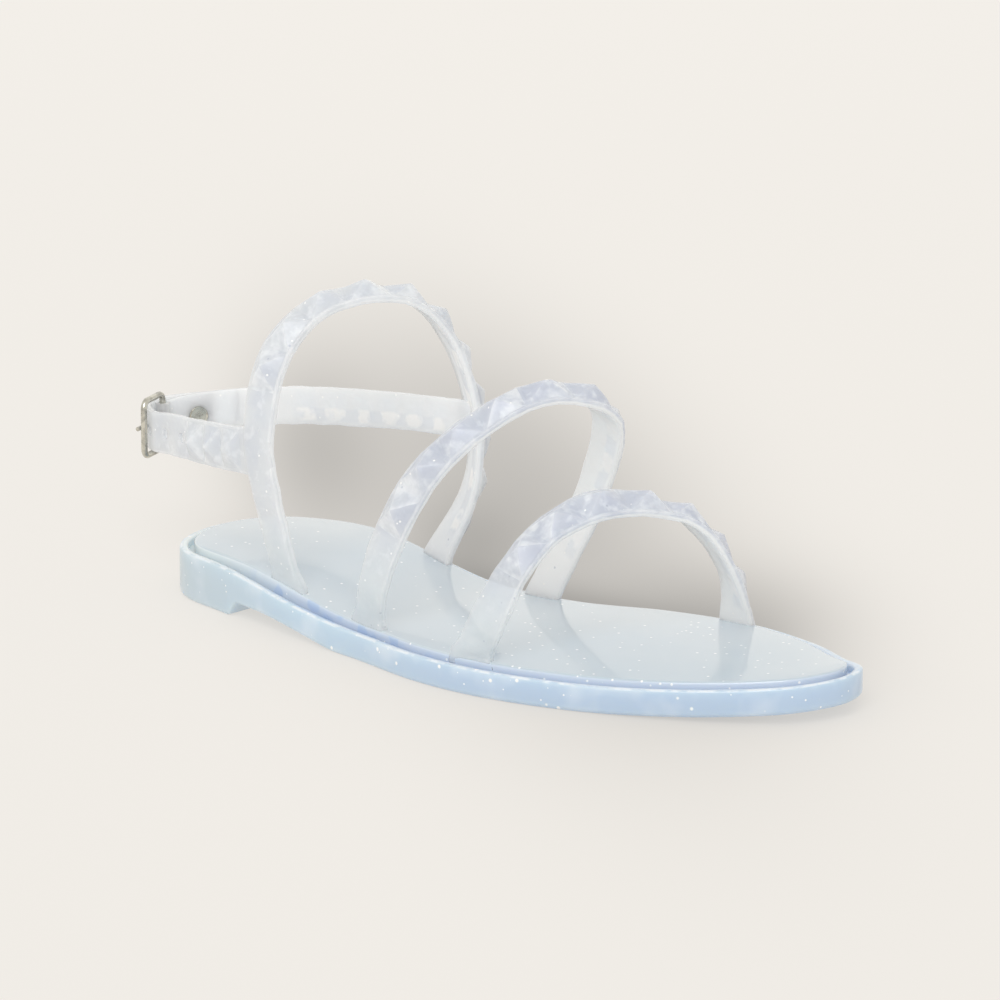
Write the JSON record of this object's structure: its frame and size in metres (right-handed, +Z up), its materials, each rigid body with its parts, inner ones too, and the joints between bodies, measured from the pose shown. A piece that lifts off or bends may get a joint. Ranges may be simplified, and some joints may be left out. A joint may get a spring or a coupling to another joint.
{
  "type": "strappy sandal",
  "caption": "Flat moulded strappy sandal for the right foot: waisted outsole with heel block, footbed, studded straps over toe, instep and ankle, and a buckled sling behind the heel.",
  "frame": {"origin": "middle of the shoe's own box, on the floor under the sole", "axes": "+X from heel to toe, +Y to the inner (medial) side of this right shoe, +Z up"},
  "size_m": [0.2704, 0.094, 0.1042],
  "materials": {
    "outsole": "pale blue translucent moulded sole with fine glitter",
    "footbed": "milky glossy footbed with fine glitter",
    "straps": "clear milky moulded straps with fine glitter",
    "buckle": "plated wire buckle"
  },
  "bodies": {
    "root": {"outsole": "outsole", "footbed": "footbed", "ankle_strap": "straps", "mid_strap": "straps", "toe_strap": "straps", "buckle_frame": "buckle", "buckle_prong": "buckle"}
  },
  "joints": []
}
